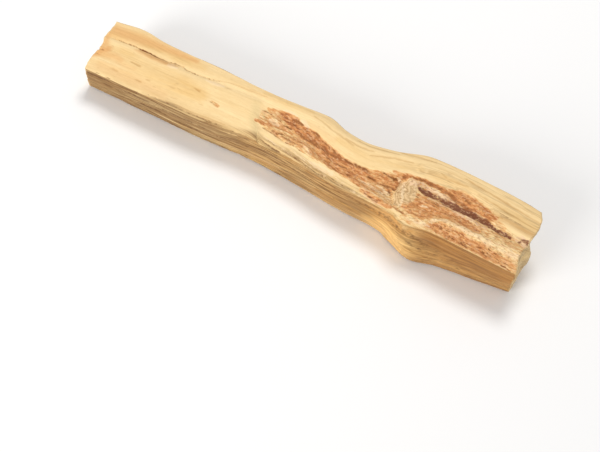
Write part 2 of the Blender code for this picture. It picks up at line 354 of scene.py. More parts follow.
def readStick(stick):
    mesh = stick.data
    place, normal = np.empty(len(mesh.vertices) * 3), np.empty(len(mesh.vertices) * 3)
    mesh.vertices.foreach_get("co", place)
    mesh.vertices.foreach_get("normal", normal)
    place = place.reshape(-1, 3) / mm
    normal = normal.reshape(-1, 3)
    x, y, z = place.T
    out = {"place": place, "normal": normal, "x": x, "y": y, "z": z}
    frontY, frontZ, backY, backZ = (lineAt(edgeLines[k], x) for k in ("frontY", "frontZ", "backY", "backZ"))
    out["frontY"], out["frontZ"] = frontY, frontZ

    # how much each vertex belongs to an end, the front, the back, the underside and the top
    limits = faceLimits
    out["end"] = smoothStep(*limits["endFacing"], np.abs(normal[:, 0])) * (np.abs(x) > limits["endStart"])
    split = 1 - out["end"]
    low = smoothStep(*limits["lowSide"], z)
    nearFront = np.maximum(low, smoothStep(*limits["brow"], y - frontY))
    nearBack = np.maximum(low, smoothStep(*limits["brow"], backY - y))
    out["front"] = smoothStep(*limits["sideFacing"], -normal[:, 1]) * nearFront * split
    out["back"] = smoothStep(*limits["sideFacing"], normal[:, 1]) * nearBack * split
    out["under"] = smoothStep(*limits["underFacing"], -normal[:, 2]) * split * (z < limits["underTop"])
    rest = np.clip(split - out["front"] - out["back"] - out["under"], 0, 1)
    out["top"] = rest * smoothStep(*limits["topRise"], z)

    # places in the grain: along the fibres, across them, and through the growth layers
    upper, lower, back, front = (smoothLine(line, x) for line in (
        flowLines["upper"], flowLines["lower"], edgeLines["backY"], edgeLines["frontY"]))
    upperShift = upper - flowLines["upperStraight"]
    lowerShift = lower - flowLines["lowerStraight"]
    backShift = back - flowLines["backStraight"]
    frontShift = front - flowLines["frontStraight"]
    within = smoothStep(0, 1, (y - lower) / (upper - lower))
    beyond = smoothStep(0, 1, (y - upper) / (back - upper))
    shift = lowerShift + (upperShift - lowerShift) * within + (backShift - upperShift) * beyond
    across = y - shift * out["top"] - frontShift * out["front"] - backShift * out["back"]
    stepsBack = np.clip((y - frontY) / flowLines["topWidth"], 0, 1)
    layer = z * flowLines["layersHigh"] / (frontZ + (backZ - frontZ) * stepsBack)
    out["grain"] = np.stack([x, across, layer], 1)

    # places in the torn wood, which keeps its scale where the fibres part round the knot
    out["crumb"] = np.stack([x, y - 0.5 * (upper + lower), z], 1)
    return out


# The lines that border the regions of the top, as (x, y)
borders = {
    "ledge": ((-13.6, 9.8), (-13.5, 6.4), (-13.3, 4.4), (-12.7, 2.8), (-12.3, 1.4), (-11.9, 0),
        (-11.1, -1.1), (-10.2, -2.2), (-9.2, -3.3), (-8.6, -5.2)),
    "tornFoot": ((-11.6, 0.6), (-9.9, -0.3), (-6, -1), (-3, -1.6), (0, -2), (5, -2.9), (9, -3.7),
        (13, -4.3), (17, -5.3), (20, -5.8), (24, -6.6), (26, -7.5), (29, -7.6), (34, -7.8), (40, -8.3),
        (50.5, -8.8)),
    "tornTop": ((-11.6, 3.4), (-10.3, 4), (-7.4, 4.7), (-4.5, 4.5), (-0.8, 3.2), (2.1, 2.6), (4.7, 1.5),
        (9, 0), (14.9, -0.3), (17.6, 0.5), (20.6, 1), (22.2, 1.7), (24.5, 2.3), (28.4, 2.8), (31, 2.9),
        (34.5, 3.4), (38.3, 2.5), (41, 1.3), (44, -0.7), (50.5, -1.6)),
    "redFoot": ((-8.8, 4.3), (-8, 4.1), (-6.5, 3.3), (-5, 2.4), (-3.3, 1.7), (-1.6, 1.1), (0.1, 0.7),
        (1.6, 0.3), (3.6, -0.3), (5.4, -1), (7, -1.3), (9.3, -1.1), (11, -0.9), (14.9, -0.9)),
    "redTop": ((-8.8, 4.5), (-7.4, 4.8), (-6, 4.9), (-4.5, 4.7), (-3.5, 4.2), (-2.1, 3.8), (-0.8, 3.4),
        (0.7, 3.2), (2.1, 2.8), (3.3, 2.1), (4.7, 1.6), (6.1, 1.1), (7.7, 0.5), (9, 0.1), (11, -0.2),
        (14.9, -0.2)),
    "pitFoot": ((14.3, -1.3), (16, -1.6), (18.9, -1.9), (20.2, -2.5), (21.2, -1.6), (21.8, 0.2)),
    "pitTop": ((14.3, -0.3), (17, 0.4), (19.7, 1.1), (21.2, 1.5), (21.8, 1.6)),
    "faceFoot": ((23.3, -5), (24.7, -5.9), (26.7, -6.5), (28.5, -6.6), (30.3, -5.5), (31.3, -4.6),
        (33, -4.2), (35.2, -4), (38.4, -4.4), (40.4, -4.4)),
    "faceTop": ((23.3, -3.9), (24.6, -2.3), (26.6, -1.7), (29, -1.1), (31.9, -1.2), (34.5, -1.3),
        (37.5, -2), (40.4, -2.8)),
    "patchFoot": ((29.6, 2.3), (30.5, 2.2), (32.5, 1.8), (34.5, 1.3), (36.5, 0.7), (38.3, 0.5),
        (42.2, -0.1)),
    "patchTop": ((29.6, 2.9), (30.8, 2.8), (32.7, 3.6), (34.6, 3.7), (36.8, 3.1), (38.7, 2.6), (42.2, 1.1)),
    "spottedFoot": ((29.5, -7.6), (32.5, -7.9), (35.2, -8.3), (40.5, -8.7), (45.6, -9), (50, -9.2)),
    "spottedTop": ((29.5, -6.8), (31, -6), (32.6, -5.3), (35, -5.5), (38, -5.8), (42.9, -6.2), (45.6, -6.5),
        (50, -7)),
    "rimFoot": ((-9.6, -4.4), (0, -5), (11, -6.6), (19, -7.2), (24, -7.6)),
    "rimTop": ((-9.6, -0.8), (-6, -1.3), (-3, -1.9), (0, -2.3), (5, -3.2), (9, -4), (13, -4.6), (17, -5.6),
        (24, -6.7)),
}

# Lines, grooves and pits: how deep each is, how dark it is, and its path, as (x, y, half width) on the top
# and as (x, z, half width) on the front
marks = {
    "top": (
        (0.2, 0.55, ((-49.3, 5.2, 0.2), (-45.1, 5.4, 0.22), (-43.2, 5.4, 0.24))),
        (0.24, 0.75, ((-43.2, 5.4, 0.24), (-41.8, 5.3, 0.3), (-40.1, 5.35, 0.3), (-38.2, 5.1, 0.26))),
        (0.2, 0.6, ((-38.2, 5.1, 0.26), (-35.7, 5.1, 0.22), (-33.9, 5.4, 0.26), (-32, 5.4, 0.22),
            (-30.7, 4.9, 0.3), (-28.1, 4.9, 0.22), (-25.5, 5.2, 0.26), (-23.1, 5.6, 0.16))),
        (0.06, 0.3, ((-23.1, 5.6, 0.16), (-20.4, 6.2, 0.16), (-18, 6.3, 0.25), (-16.3, 6.3, 0.4),
            (-14.6, 6.4, 0.25), (-12.2, 6.3, 0.14))),
        (0.12, 0.7, ((-11.6, 3.3, 0.2), (-10.7, 3.4, 0.24), (-9.7, 3.3, 0.2))),
        (0.16, 0.65, ((-9.9, -0.3, 0.2), (-8.7, -0.5, 0.24), (-7.4, -0.7, 0.2), (-6.1, -1, 0.24),
            (-4.5, -1.4, 0.2), (-3, -1.6, 0.24), (-1.3, -1.8, 0.2), (0.3, -2.1, 0.14), (3, -2.6, 0.14))),
        (0.16, 0.75, ((-2.6, 2, 0.3), (-1.5, 1.6, 0.55), (0.2, 1.3, 0.55), (2.1, 1, 0.6), (3.7, 0.7, 0.5),
            (5.6, 0.2, 0.4), (7.1, 0, 0.3))),
        (0.1, 0.8, ((-4.8, 4.1, 0.25), (-3.4, 3.8, 0.42), (-2.4, 3.5, 0.25))),
        (0.1, 0.85, ((1.1, 2.9, 0.4), (1.7, 2.7, 0.5))),
        (0.1, 0.6, ((-0.6, 3.2, 0.2), (2.2, 2.3, 0.25), (4.9, 1.2, 0.3), (6.4, 0.7, 0.3), (8, 0.1, 0.25))),
        (0.22, 0.8, ((-5.8, 2.5, 0.3), (-5.1, 2.1, 0.4), (-4.5, 2.1, 0.5))),
        (0.12, 0.6, ((-7.7, -0.1, 0.28), (-7, -0.1, 0.34))),
        (0.18, 0.7, ((-6.4, -0.3, 0.42), (-5, 0.1, 0.3))),
        (0.14, 0.7, ((-5.2, -0.6, 0.32), (-3.7, -0.7, 0.4))),
        (0.14, 0.7, ((-3.7, -0.7, 0.34), (-2.7, -1, 0.42), (-1.5, -1, 0.22))),
        (0.08, 0.5, ((-1.1, 0.2, 0.16), (-0.2, -0.2, 0.24), (0.8, -0.3, 0.2))),
        (0.1, 0.6, ((3.6, 0, 0.16), (5.2, -0.8, 0.28), (6.5, -1.3, 0.36))),
        (0.1, 0.5, ((8.2, -1.2, 0.3), (9.4, -1.5, 0.35), (10.9, -1.5, 0.24), (12.2, -1.9, 0.3))),
        (0.16, 0.75, ((8.4, 0.1, 0.2), (10.1, -0.3, 0.32), (11.9, -0.4, 0.36), (13.7, -0.4, 0.3),
            (15.2, -0.5, 0.28))),
        (0.18, 0.9, ((17.4, 0.2, 0.18), (18.6, 0.3, 0.24), (19.4, 0.4, 0.2), (20.7, 0.6, 0.24))),
        (0.14, 0.75, ((14.9, -1.2, 0.3), (16, -1.2, 0.34), (17.5, -1.4, 0.34), (18.9, -1.4, 0.5),
            (20, -1.4, 0.7), (20.8, -1.1, 0.6), (21.3, -0.2, 0.45), (21.5, 0.7, 0.3))),
        (0.12, 0.7, ((20.1, -1.8, 0.45), (20.5, -2.9, 0.3))),
        (0.1, 0.7, ((15.8, -5.3, 0.2), (16.9, -5.7, 0.34), (17.9, -5.9, 0.46), (18.9, -6.1, 0.34))),
        (0.14, 0.7, ((22.2, -5.7, 0.26), (23.5, -6.1, 0.4), (24.8, -6.5, 0.3))),
        (0.12, 0.7, ((21.3, 1.4, 0.2), (22.2, 1.7, 0.26), (23.2, 1.9, 0.3), (24.5, 2.2, 0.42),
            (25.5, 2.4, 0.48), (26.9, 2.6, 0.46), (28.4, 2.6, 0.42), (29.6, 2.4, 0.46), (30.8, 2.1, 0.55),
            (31.8, 1.8, 0.55), (33.1, 1.4, 0.5), (34.6, 1.1, 0.4), (36.7, 0.8, 0.2))),
        (0.14, 0.9, ((29.7, -1.3, 0.4), (30.6, -1.6, 0.46))),
        (0.06, 0.6, ((25.2, -1.8, 0.3), (26.6, -1.8, 0.36))),
        (0.08, 0.55, ((26.4, -5.6, 0.4), (27.6, -5.9, 0.3))),
        (0.06, 0.45, ((31.5, -2.5, 0.16), (33.4, -2.6, 0.28), (35, -2.4, 0.16))),
        (0.08, 0.7, ((35, 2.1, 0.32), (35.5, 1.9, 0.4), (36.3, 1.8, 0.3))),
        (0.06, 0.4, ((42.7, 0.9, 0.16), (44.5, 0.6, 0.22), (46.2, 0.5, 0.26), (48.4, 0.5, 0.16))),
        (0.06, 0.45, ((-42.1, 1.3, 0.26), (-40.2, 1.1, 0.34))),
        (0.05, 0.42, ((-45.2, -2, 0.36), (-43.8, -2.1, 0.24))),
        (0.06, 0.45, ((-39.1, -2.2, 0.26), (-38.1, -2.2, 0.28))),
        (0.06, 0.4, ((-37.3, -1.2, 0.22), (-36.8, -1.2, 0.32))),
        (0.03, 0.25, ((-32.2, -0.5, 0.2), (-30.9, -0.5, 0.3))),
        (0.08, 0.45, ((-26.7, 1.4, 0.22), (-25.7, 1.2, 0.38))),
        (0.14, 0.6, ((-22.1, 0, 0.34), (-21.2, -0.1, 0.56), (-20.2, -0.3, 0.42))),
        (0.04, 0.32, ((-20.8, 4.7, 0.26), (-19.9, 4.8, 0.24))),
        (0.03, 0.3, ((-24.1, -1.5, 0.16), (-23.5, -1.5, 0.2))),
        (0.03, 0.28, ((-30.6, -2.7, 0.2), (-29.2, -2.6, 0.22))),
        (0.25, 0.55, ((-49.2, 1.5, 0.25), (-50.1, 1.3, 0.4), (-50.1, 0.2, 0.3))),
        (0.04, 0.35, ((28.3, 5.2, 0.18), (29.3, 4.8, 0.28), (30.1, 4.2, 0.2))),
        (0.1, 0.55, ((-35, -4.2, 0.2), (-28.3, -4.3, 0.3), (-24.4, -4.4, 0.3), (-20.4, -4.2, 0.26),
            (-17.4, -4.1, 0.2))),
        (0.04, 0.38, ((-29, -3.8, 0.16), (-25, -3.9, 0.24), (-21, -3.7, 0.24), (-17, -3.5, 0.16))),
        # a faint brown band below the fissure, partly the wood's tint and partly painted shadow of its step
        (0, 0.42, ((-42.4, 4.9, 0.4), (-39, 4.6, 0.8), (-35.6, 4.5, 0.7), (-33.4, 4.7, 0.4))),
        (0, 0.14, ((-50, -3, 1.4), (-36, -3.5, 1.6), (-24, -3.5, 1.4), (-16, -3.2, 0.6))),
        (0.1, 0.64, ((-9, -2.9, 0.16), (-6.4, -3.5, 0.24), (-3.5, -4.1, 0.26), (-0.8, -4.4, 0.16))),
        (0.08, 0.58, ((-7.3, -2.5, 0.14), (-4.2, -3.2, 0.22), (-1.1, -3.8, 0.24), (1.8, -4.3, 0.14))),
        (0.08, 0.58, ((1.4, -4.5, 0.14), (4.5, -5.1, 0.24), (7.4, -5.5, 0.24), (10.7, -5.9, 0.16))),
        (0.05, 0.46, ((6.8, -4.9, 0.14), (10, -5.4, 0.22), (13.6, -5.9, 0.16))),
        (0, 0.45, ((38, 2, 0.5), (43.5, 1, 1), (48.6, 0.5, 0.9))),
        (0.05, 0.36, ((-1.1, 6.4, 0.2), (2.5, 5.4, 0.3), (5.3, 4.5, 0.3), (7.3, 4, 0.3), (9.4, 3.3, 0.2))),
        (0.05, 0.36, ((7.2, 4.3, 0.2), (9.7, 3.8, 0.28), (11.4, 3.7, 0.28), (13.6, 3.9, 0.2))),
        (0.06, 0.42, ((9.6, 5.2, 0.2), (12.5, 4.9, 0.3), (15.2, 5.2, 0.3), (18.5, 5.7, 0.2))),
        (0.05, 0.38, ((13.4, 2.7, 0.2), (15.9, 3.6, 0.3), (18.3, 4.3, 0.3), (22, 5, 0.2))),
        (0.06, 0.4, ((19, 6.3, 0.2), (22, 6.9, 0.3), (26, 7.4, 0.2))),
        (0.04, 0.34, ((24, 3.9, 0.2), (29, 4.4, 0.3), (34, 4.8, 0.2))),
        (0.05, 0.38, ((33, 6.3, 0.2), (38, 5.6, 0.3), (45, 4.6, 0.3), (50, 3.9, 0.2))),
        (0.04, 0.34, ((37, 4.2, 0.2), (43, 3, 0.3), (49.5, 2.2, 0.2))),
        (0.05, 0.5, ((40.5, 2.3, 0.2), (43.5, 1.8, 0.28), (47, 1.5, 0.2))),
    ),
    "front": (
        (0.24, 0.95, ((-49.9, 5.9, 0.34), (-45.9, 6.1, 0.42), (-40.6, 6.8, 0.4), (-36.9, 6.9, 0.32),
            (-34.4, 6.9, 0.34), (-29.6, 6.6, 0.36), (-24.8, 6.6, 0.32), (-19.6, 6.4, 0.3),
            (-15, 6.2, 0.2))),
        (0.2, 0.85, ((-48.4, 3.6, 0.28), (-44.2, 4.2, 0.32), (-39.6, 5.3, 0.36), (-34.2, 5, 0.32),
            (-29.8, 5, 0.36), (-24.8, 5.1, 0.32), (-18.5, 5, 0.2))),
        (0.16, 0.75, ((-37, 3.2, 0.24), (-33.6, 3.3, 0.32), (-29.3, 3, 0.34), (-24.4, 2.8, 0.32),
            (-18, 3, 0.2))),
        (0.12, 0.7, ((-48, 7, 0.14), (-38, 7.5, 0.2), (-31, 7.5, 0.22), (-24, 7.5, 0.2), (-17, 7.2, 0.12))),
        (0, 0.4, ((-51, 4.6, 3.6), (-46, 5.3, 3.2), (-42, 6.4, 1.8), (-38, 7, 0.9))),
        (0.1, 0.6, ((-46, 2.2, 0.16), (-41, 2.6, 0.26), (-36, 2.1, 0.26), (-31, 1.7, 0.2))),
        (0.1, 0.6, ((-26, 4, 0.16), (-21, 3.9, 0.28), (-15, 4.6, 0.26), (-10, 4.8, 0.26), (-5, 4.5, 0.16))),
        (0.1, 0.6, ((-19, 6.9, 0.16), (-14, 6.7, 0.26), (-8, 6.3, 0.28), (-2, 6.4, 0.26), (3, 6.6, 0.16))),
        (0.08, 0.5, ((-9, 5.6, 0.16), (-3, 5.3, 0.26), (3, 5.5, 0.26), (9, 5.6, 0.16))),
        (0.08, 0.5, ((-4, 3.4, 0.16), (2, 3.8, 0.26), (8, 3.6, 0.28), (14, 3.9, 0.16))),
        (0.08, 0.5, ((2, 7.3, 0.16), (6, 7.4, 0.24), (11, 7.8, 0.24), (16, 8, 0.16))),
        (0.08, 0.45, ((-16.4, 4.1, 0.2), (-13, 3.7, 0.3), (-9.4, 3, 0.3), (-5.3, 2.8, 0.2))),
        (0.06, 0.4, ((-12, 7.9, 0.14), (-8.5, 7.7, 0.25), (-4, 7.7, 0.3), (1, 8, 0.3), (5.7, 8.3, 0.26),
            (10, 8.5, 0.14))),
        # a brown streak under the front edge, partly the wood's colour and partly painted shade in the
        # scoop below the edge
        (0.1, 0.52, ((7.6, 7.2, 0.5), (12.3, 6.6, 0.7), (15.8, 6.5, 0.8), (19.3, 6.5, 0.9),
            (22.6, 6.6, 0.8), (25.5, 6.8, 0.7), (28.4, 6.6, 0.72), (31.4, 6.3, 0.6), (34, 6, 0.3))),
        # a wide faint band round it: painted shade in the scoop under the front edge
        (0, 0.4, ((3, 7, 1.2), (12.3, 6.2, 2), (17, 6.2, 2.2), (22, 6.6, 2), (27, 7.2, 1.4))),
        (0, 0.38, ((6, 3.2, 1.2), (11, 3.2, 2.4), (16, 3.4, 1.6))),
        (0.06, 0.45, ((24.6, 8.5, 0.2), (28.4, 8.4, 0.3), (31.6, 8.5, 0.3), (36, 9.2, 0.2))),
        (0.06, 0.5, ((26, 5.9, 0.2), (28.5, 5.6, 0.28), (30.7, 5.4, 0.34), (33.3, 5.1, 0.28),
            (36.6, 4.9, 0.2))),
        (0.06, 0.45, ((27.6, 4.7, 0.2), (29.5, 4.4, 0.28), (31.7, 3.9, 0.28), (34.8, 3, 0.2))),
        (0.06, 0.45, ((37.6, 5.1, 0.2), (41.4, 5.2, 0.32), (44.6, 5.3, 0.34), (49.8, 4.9, 0.2))),
        (0.08, 0.5, ((41, 2.5, 0.24), (45.2, 2.3, 0.4), (48.4, 2.1, 0.26))),
        (0.1, 0.85, ((49.2, 1, 0.6), (50.4, 0.9, 0.7))),
    ),
}

# What stains the top, as strokes: how strong each is, and its path as (x, y, half width)
strokes = {
    "resin": (
        (0.45, ((25.9, -1.1, 0.4), (28.5, -1.2, 0.6), (31.5, -1.3, 0.6), (34.5, -1.7, 0.5),
            (37, -2.2, 0.4))),
        (0.3, ((-22.2, 0.1, 0.3), (-21.3, -0.1, 0.5), (-20.2, -0.4, 0.35))),
        (0.34, ((-10.6, 3.9, 0.6), (-8.9, 4.1, 0.8), (-7.2, 3.9, 0.8))),
        (0.58, ((-11.8, 0.4, 0.4), (-10.6, 0.6, 0.6), (-9.6, 0.5, 0.4))),
        (0.44, ((-9, 0.8, 0.5), (-6.6, 1.4, 0.8), (-4, 1.2, 0.6))),
        (0.4, ((-3.5, -0.2, 0.6), (-0.5, -0.4, 0.9), (3, -0.8, 0.8), (6.6, -1.9, 0.7))),
        (0.52, ((19.4, 1.3, 0.3), (21.2, 1.6, 0.5), (22.6, 2, 0.4), (24.6, 2.4, 0.3))),
        (0.64, ((21.3, 1.5, 0.3), (23.2, 1.9, 0.35), (25.5, 2.4, 0.45), (28.4, 2.6, 0.45), (30.8, 2.2, 0.5),
            (33.1, 1.5, 0.5), (36.7, 0.8, 0.4))),
        (0.5, ((15.2, -5.1, 0.5), (17.9, -5.8, 0.8), (19.9, -6.1, 0.7), (21.9, -6.2, 0.5))),
        (0.66, ((16.9, -5.7, 0.3), (17.9, -5.9, 0.4), (18.9, -6.1, 0.3))),
        (0.22, ((25, -7.6, 0.7), (29, -8, 0.9), (33, -8.2, 0.6))),
        (0.26, ((36.5, 0.2, 0.8), (41, 0, 1), (44, -0.6, 0.7))),
        (0.24, ((39, -2.2, 0.7), (43, -2.9, 1.1), (46, -3.3, 1), (48.4, -3.6, 0.7))),
    ),
    "warm": (
        (1, ((-51, -0.6, 1.2), (-49.8, 0.6, 1.5), (-48.6, 2.2, 1.3))),
        (0.55, ((-48.6, 0.6, 1.5), (-46.4, 1, 1.4), (-44.6, 0.7, 1))),
        (0.25, ((-46.4, 0.1, 0.8), (-43.9, -0.1, 0.9), (-40.9, -0.1, 0.9))),
        (0.8, ((-51, 7.8, 0.6), (-50.4, 4.6, 0.9), (-49.9, 3.2, 1), (-50, 1.8, 0.8))),
        (0.75, ((-50.6, 7.4, 2.4), (-46, 7.4, 2.2), (-41, 7.8, 1.8), (-35.1, 8, 1.4), (-30, 8, 0.9))),
        # an orange band below the fissure, partly the wood's tint and partly painted shadow of its step
        (0.55, ((-43, 4.6, 0.6), (-39.4, 4.5, 1), (-36, 4.5, 0.9), (-33, 4.6, 0.6))),
        (0.28, ((-48, -2.2, 1.6), (-40, -2.4, 1.9), (-32, -2.8, 1.4))),
        (0.2, ((-1.2, 4.4, 1), (1.9, 3.8, 1.3), (4.9, 2.8, 1))),
    ),
    "purple": (
        (1, ((25.7, 0.4, 0.5), (26.7, 0.4, 0.8), (27.7, 0.35, 0.9), (28.7, 0.3, 0.8))),
        (0.5, ((28.7, 0.4, 0.9), (29.8, 0.4, 0.8), (31.2, 0.3, 0.8))),
        (1, ((31.2, 0.3, 0.85), (32.9, 0.2, 0.9), (34.3, 0.1, 0.85), (35.7, 0, 0.85), (37, -0.1, 0.9),
            (38.8, -0.2, 0.8), (40.2, -0.4, 0.7), (41.6, -0.9, 0.55), (43, -1.3, 0.45))),
        (0.8, ((42.8, -1.3, 0.45), (43.9, -1.5, 0.5), (44.8, -1.6, 0.45), (46.2, -1.8, 0.3))),
        (0.9, ((47.7, -1.4, 0.24), (48.3, -1.2, 0.3), (48.9, -1.7, 0.34), (49.2, -2.5, 0.3),
            (48.8, -2.9, 0.24))),
        (0.8, ((47.7, -1.5, 0.24), (47.7, -2.1, 0.24))),
    ),
    "pink": (
        (0.5, ((28, -0.8, 0.3), (31.4, -0.9, 0.4), (33.5, -1, 0.4))),
        (0.95, ((33, -1, 0.4), (34.5, -1.2, 0.6), (36.5, -1.4, 0.65), (38.7, -1.8, 0.6), (41, -2.2, 0.4))),
        (0.8, ((26, 1.6, 0.6), (29, 1.6, 0.7), (31, 1.2, 0.6), (33, 0.9, 0.4))),
        (0.9, ((23.6, 0.9, 0.8), (25.2, 1, 0.8))),
        (0.9, ((47.7, -1.4, 0.9), (48.6, -2, 1.1))),
    ),
    "pale": (
        (0.9, ((-9.2, 2.2, 0.5), (-8.2, 2.1, 0.8), (-7.3, 1.8, 0.5))),
        (1.2, ((-3.3, 4.4, 0.35), (-2.2, 4, 0.65), (-1.2, 3.6, 0.4))),
        (0.8, ((-7.4, 5.1, 0.3), (-6, 5.2, 0.4), (-4.6, 5, 0.3))),
        (0.6, ((0.1, -1, 0.5), (1, -1.4, 0.6), (2, -2, 0.5))),
        (0.9, ((20.7, 0.8, 0.3), (21.3, 0.9, 0.3))),
        (0.8, ((17.3, -2.2, 0.35), (18.4, -2.2, 0.35))),
        (0.8, ((18.8, -2.4, 0.3), (20.1, -2.9, 0.45))),
        (0.7, ((13.6, -2.6, 0.3), (15.8, -3, 0.45), (18, -3.1, 0.4), (20.8, -3.8, 0.45))),
        (0.6, ((14.6, -4.2, 0.3), (17, -4.5, 0.4), (20, -5, 0.3))),
        (0.8, ((2.6, -3.5, 0.6), (5.3, -3.9, 0.9), (8, -4.2, 0.6))),
        (0.3, ((-8.8, -1.6, 0.7), (-4, -2.6, 1), (1, -3.3, 1.1), (5, -4.2, 1.1), (10, -5, 1.1),
            (15, -5.9, 0.9), (20, -6.7, 0.7))),
        (0.8, ((22.2, 0.9, 0.3), (22.3, -0.7, 0.34), (22.9, -2.6, 0.36), (23.6, -4, 0.4),
            (23.4, -5.2, 0.34))),
        (0.9, ((27.4, -3, 0.35), (28.4, -2.9, 0.4))),
        (0.7, ((26, -7.4, 0.5), (28.7, -7.2, 0.6), (30.5, -7.2, 0.4))),
        (0.8, ((30.4, -6.2, 0.4), (31.2, -5.4, 0.5), (32.4, -4.9, 0.5), (34.2, -4.8, 0.5))),
        (0.7, ((34, -4.8, 0.5), (37, -5, 0.7), (41, -5.2, 0.8), (45, -5.5, 0.9), (49.6, -5.8, 0.9))),
        (0.9, ((-35, 4.3, 0.5), (-34, 4.4, 0.8), (-33, 4.4, 0.5))),
        (0.9, ((-25.4, 4.4, 0.5), (-24, 4.4, 0.8), (-21.9, 4.6, 0.5))),
        (0.8, ((28.6, 1.6, 0.4), (30.2, 1.3, 0.5), (31.2, 1, 0.4))),
    ),
    "honey": (
        (0.9, ((-50, 1.4, 2), (-45.9, 2, 2.6), (-40.2, 1.2, 3.4), (-34.9, 0.8, 3.6), (-30, 0.7, 3.2),
            (-24.9, 0.4, 2.2))),
        (0.8, ((-50, 6.5, 2.2), (-44, 7.4, 2.6), (-36, 7.2, 2.2), (-28, 7, 1.4))),
        (0.6, ((-13, 7.2, 1), (-8, 7, 1.4), (-2, 7.2, 0.8))),
        (0.6, ((6, 3.4, 1.4), (12, 2.4, 1.6), (18, 3, 1.4), (24, 4.4, 1.2))),
        (0.45, ((26, 4.4, 1), (34, 5, 1.6), (42, 3.6, 2.2), (49, 2.4, 2.4))),
    ),
}
strokeSoftness = {"resin": 0.45, "warm": 0.9, "purple": 0.45, "pink": 0.7, "pale": 0.6, "honey": 0.8}

# How dark each region's resin is, and how soft its border
stainRegions = {
    "red": (0.62, 0.3),
    "pit": (0.46, 0.3),
    "face": (0.48, 0.4),
    "patch": (0.54, 0.4),
    "spotted": (0.53, 0.4),
}

# What changes along the stick, as (x, value)
profiles = {
    "tanGround": ((-11.6, 0.24), (-8, 0.3), (0, 0.32), (8, 0.52), (13, 0.54), (16, 0.36), (21, 0.22),
        (30, 0.22), (50, 0.2)),
    "lined": ((-14, 1), (2, 0.9), (12, 0.75), (22, 0.4), (30, 0.45), (38, 0.6)),
    # how dark the grooves are coloured: partly the wood's dark lines, partly painted shade in the creases
    "groove": ((-2, 1), (12, 0.7), (20, 0.4), (30, 0.5)),
    "frontReach": ((-36, 0.2), (-30, 1.4), (-16, 1.4), (-10, 2.5), (16, 2.5), (24, 0.4)),
}

# What fades in along the stick, as the x where it starts and the x where it is full
fades = {
    "wild": (-16, -10),
    "spottedEnd": (41, 47),
    "roughLeft": (4, -16),
    "leftStreak": (23, 20),
    "leftFront": (-7, -22),
    "rightFront": (24, 33),
    "streaky": (16, 28),
    "streakyBack": (-20, -34),
    "bulgeStart": (15, 21),
    "bulgeEnd": (31, 26),
}

drawn = {
    "steady": 0.4,              # how much the lines at the left wander, for 1 elsewhere
    "endTop": 6,                # the marks run on over an end above this height
    "regions": {"torn": 0.35, "rim": 0.3, "spotted": 0.35},     # and how soft their borders are
    "knotPlace": (23.5, -1.7),
    "knotSize": (2.5, 3.7),
    "knotEdges": (0.85, 0.45),  # where it is full, left and right, for 0 at its middle and 1 at its border
    "knotClean": 0.9,           # how much of the resin the knot leaves out
    "spottedFade": 0.22,
    "widths": {"top": 1.0, "front": 0.8},
    "darkFrom": 0.45,           # a mark this dark is a line of its own, a fainter one only shades the wood
    "wear": 0.75,               # how dark a worn mark is on average
}


def fadeIn(name, x):
    return smoothStep(*fades[name], x)


def drawFeatures(s):
    # wandering copies of the places, so that no line or border runs too true
    wander = atLeast(drawn["steady"], fadeIn("wild", s["x"]))
    x = s["x"] + grainNoise("wanderX", s["crumb"])
    y = s["y"] + grainNoise("wanderY", s["crumb"]) * wander
    z = s["z"] + grainNoise("wanderZ", s["grain"])
    top = s["top"]
    onTop = np.clip(top + s["end"] * (z > drawn["endTop"]), 0, 1)

    def region(name, soft):
        return between(borders[name + "Foot"], borders[name + "Top"], x, y, soft) * top

    def painted(name):
        soft = strokeSoftness[name]
        strength = [value * smoothStep(-0.15, soft, nearPath(path, x, y)) for value, path in strokes[name]]
        return np.max(strength, axis=0) * top

    for name, soft in drawn["regions"].items():
        s[name] = region(name, soft)
    (knotX, knotY), (wide, deep) = drawn["knotPlace"], drawn["knotSize"]
    fromKnot = np.hypot((x - knotX) / wide, (y - knotY) / deep) + grainNoise("knotEdge", s["crumb"])
    softLeft, softRight = drawn["knotEdges"]
    s["knot"] = smoothStep(1.05, np.where(x > knotX, softRight, softLeft), fromKnot) * top

    # the resin: a tan ground along the streak, with the red band, the pit and the orange faces over it
    ground = s["torn"] * lineAt(profiles["tanGround"], x)
    stains = {name: dark * region(name, soft) for name, (dark, soft) in stainRegions.items()}
    stains["spotted"] *= 1 - drawn["spottedFade"] * fadeIn("spottedEnd", x)
    stain = np.max([ground, painted("resin"), *stains.values()], axis=0)
    s["stain"] = stain * (1 - drawn["knotClean"] * s["knot"])
    for name in ("warm", "purple", "pink", "pale", "honey"):
        s[name] = painted(name)

    for name in ("dark", "cut", "faint"):
        s[name] = np.zeros(len(x))
    for face, across, where in (("top", y, onTop), ("front", z, s["front"])):
        for depth, shade, path in marks[face]:
            near = 1 - (1 - nearPath(path, x, across)) / drawn["widths"][face]
            kind = "dark" if shade > drawn["darkFrom"] else "faint"
            s[kind] = np.maximum(s[kind], smoothStep(-0.3, 0.9, near) * where * shade)
            s["cut"] = np.maximum(s["cut"], smoothStep(0, 1, near) * where * depth)
    s["dark"] *= np.clip(drawn["wear"] + grainNoise("markWear", s["crumb"]), 0.4, 1.2)
    print("features drawn")


# How soft the step of the ledge is, and where the painted shade at its foot lies, in mm
ledgeShape = {
    "reach": 1.1,               # along the stick, over which its heights are averaged
    "width": 0.4,               # the same across the stick
    "frontFade": (0.0, 0.8),    # from the front edge, where the averaging starts
    "backEnd": 9,
    "footBefore": (-2.2, -0.5), # where the painted shade at the foot of the step starts
    "footAfter": (0.9, 0.1),    # and where it ends
    "footAcross": (6.5, 2.5),
}

